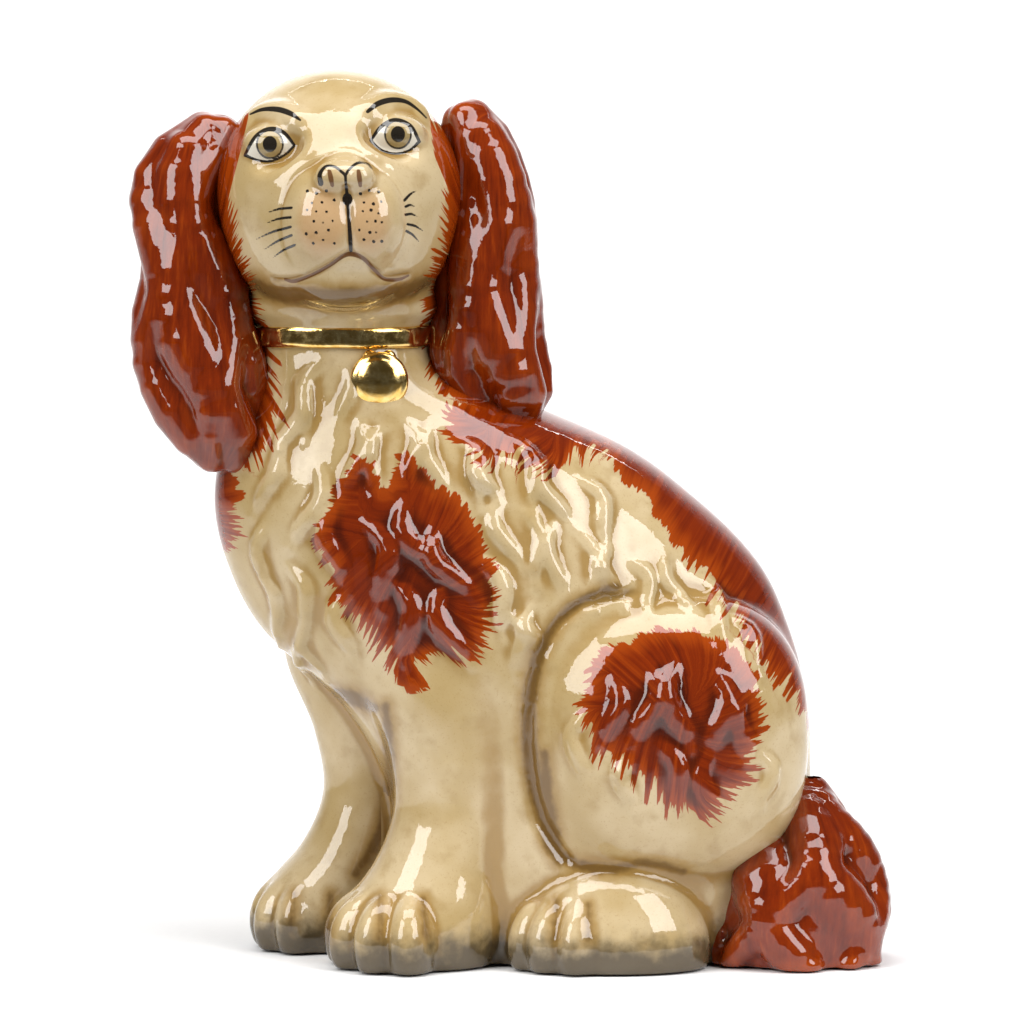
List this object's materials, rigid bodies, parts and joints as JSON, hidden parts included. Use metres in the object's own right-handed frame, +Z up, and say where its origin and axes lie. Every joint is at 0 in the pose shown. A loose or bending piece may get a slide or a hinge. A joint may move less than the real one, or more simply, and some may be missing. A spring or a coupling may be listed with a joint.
{
  "type": "ceramic dog figurine",
  "caption": "Hollow glazed earthenware figurine of a seated long-eared spaniel, chest to the left and head turned to the viewer, with a gilded collar and padlock, standing on a flat base.",
  "frame": {"origin": "middle of the figure's bounding box, on the plane it stands on", "axes": "+Z up, -X towards the dog's chest, +X towards its tail, -Y towards the face and the viewer"},
  "size_m": [0.2616, 0.127, 0.305],
  "materials": {
    "cream_glaze": "clear gloss lead-type glaze over cream earthenware, with brushed red-brown patches",
    "russet_glaze": "clear gloss glaze over brushed red-brown enamel",
    "gilding": "bright gold lustre fired over the glaze",
    "bare_clay": "unglazed matt biscuit"
  },
  "bodies": {
    "root": {"head_front": "cream_glaze", "head_back": "cream_glaze", "body_front": "cream_glaze", "body_back": "cream_glaze", "left_haunch": "cream_glaze", "right_haunch": "cream_glaze", "left_foreleg": "cream_glaze", "right_foreleg": "cream_glaze", "left_hind_paw": "cream_glaze", "right_hind_paw": "cream_glaze", "right_ear": "russet_glaze", "left_ear": "russet_glaze", "tail": "russet_glaze", "collar": "gilding", "locket": "gilding", "locket_shackle": "gilding", "base_slab": "bare_clay"}
  },
  "joints": []
}
